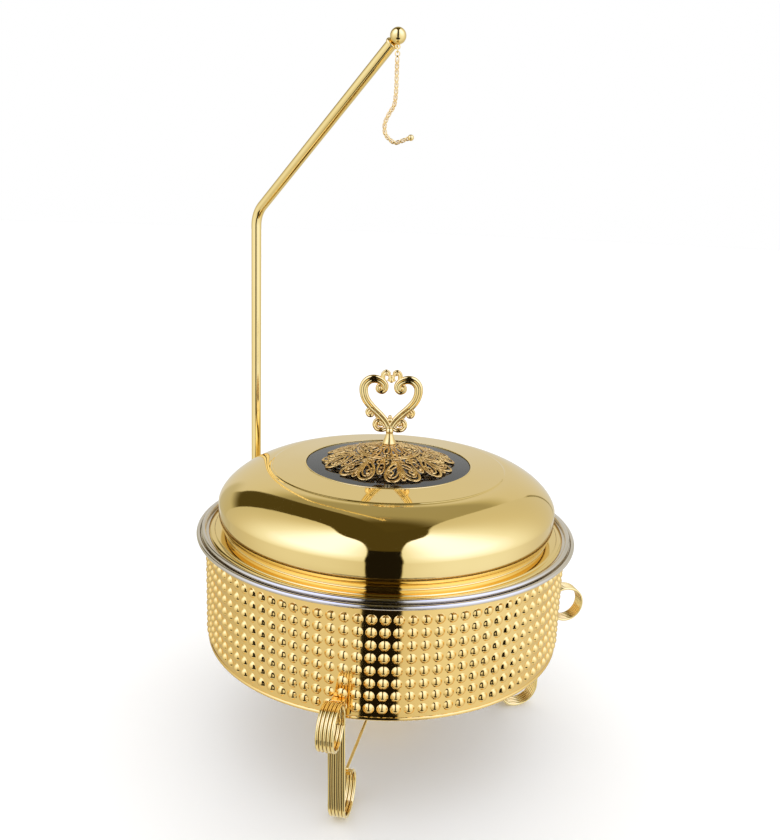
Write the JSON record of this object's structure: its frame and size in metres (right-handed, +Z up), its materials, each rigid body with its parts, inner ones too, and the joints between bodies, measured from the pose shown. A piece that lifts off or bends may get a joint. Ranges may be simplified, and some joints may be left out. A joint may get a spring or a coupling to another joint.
{
  "type": "chafing dish food warmer",
  "caption": "Round drum-shaped food warmer on scroll legs, with lift-out pans, a domed lid with a window and a pole whose hook holds the lid.",
  "frame": {"origin": "point on the floor under the middle of the object's bounding box", "axes": "+Z up along the drum's axis, -Y towards the front, +X to the right seen from the front"},
  "size_m": [0.4122, 0.4148, 0.6974],
  "materials": {
    "gold_plate": "mirror polished gold plate",
    "stainless_steel": "polished stainless steel",
    "smoked_glass": "smoked, polished",
    "silicone": "matt",
    "fuel_gel": "soft gel"
  },
  "bodies": {
    "stand": {"drum_band": "gold_plate", "leg_front": "gold_plate", "leg_right": "gold_plate", "leg_rear": "gold_plate", "leg_saddle_front": "gold_plate", "leg_saddle_right": "gold_plate", "leg_saddle_rear": "gold_plate", "brace_rod_front": "gold_plate", "brace_rod_right": "gold_plate", "brace_rod_rear": "gold_plate", "burner_plate": "gold_plate", "pole_socket": "gold_plate", "socket_bracket": "gold_plate"},
    "water_pan": {"water_pan": "stainless_steel"},
    "food_pan": {"food_pan": "stainless_steel"},
    "lid": {"lid_dome": "gold_plate", "window_glass": "smoked_glass", "window_seal": "silicone", "filigree_rosette": "gold_plate", "lid_handle": "gold_plate", "handle_washer": "silicone", "handle_nut": "stainless_steel"},
    "burner": {"burner_cup": "stainless_steel", "fuel_gel": "fuel_gel", "cover_pin": "stainless_steel"},
    "burner_cover": {"burner_cover": "stainless_steel"},
    "pole": {"lid_pole": "gold_plate", "pole_collar": "gold_plate", "pole_ball": "gold_plate"},
    "hook_ring": {"hook_ring": "gold_plate"},
    "lid_hook": {"lid_hook": "gold_plate"},
    "thumb_screw": {"thumb_screw": "gold_plate"}
  },
  "joints": [
    {"name": "water_pan_lift", "type": "slide", "parent": "stand", "child": "water_pan", "axis": [0, 0, 1], "range_m": [0, 0.075]},
    {"name": "food_pan_lift", "type": "slide", "parent": "water_pan", "child": "food_pan", "axis": [0, 0, 1], "range_m": [0, 0.058]},
    {"name": "lid_lift", "type": "slide", "parent": "food_pan", "child": "lid", "axis": [0, 0, 1], "range_m": [0, 0.07]},
    {"name": "burner_draw", "type": "slide", "parent": "stand", "child": "burner", "axis": [0.729, -0.6845, 0], "range_m": [0, 0.25]},
    {"name": "burner_cover_swing", "type": "hinge", "parent": "burner", "child": "burner_cover", "pos_m": [0.01964, 0.01741, 0.09169], "axis": [0, 0, 1], "range_deg": [0, 110]},
    {"name": "pole_swivel", "type": "hinge", "parent": "stand", "child": "pole", "pos_m": [-0.16965, 0.14629, 0.19581], "axis": [0, 0, 1], "range_deg": [-90, 90]},
    {"name": "hook_ring_swing", "type": "hinge", "parent": "pole", "child": "hook_ring", "pos_m": [-0.02219, 0.02256, 0.67961], "axis": [0, 1, 0], "range_deg": [-30, 30]},
    {"name": "hook_swing", "type": "hinge", "parent": "hook_ring", "child": "lid_hook", "pos_m": [-0.02219, 0.02256, 0.67591], "axis": [1, 0, 0], "range_deg": [-35, 35]},
    {"name": "thumb_screw_turn", "type": "hinge", "parent": "stand", "child": "thumb_screw", "pos_m": [-0.16965, 0.14629, 0.18171], "axis": [-0.766, 0.6428, 0], "continuous": true}
  ]
}
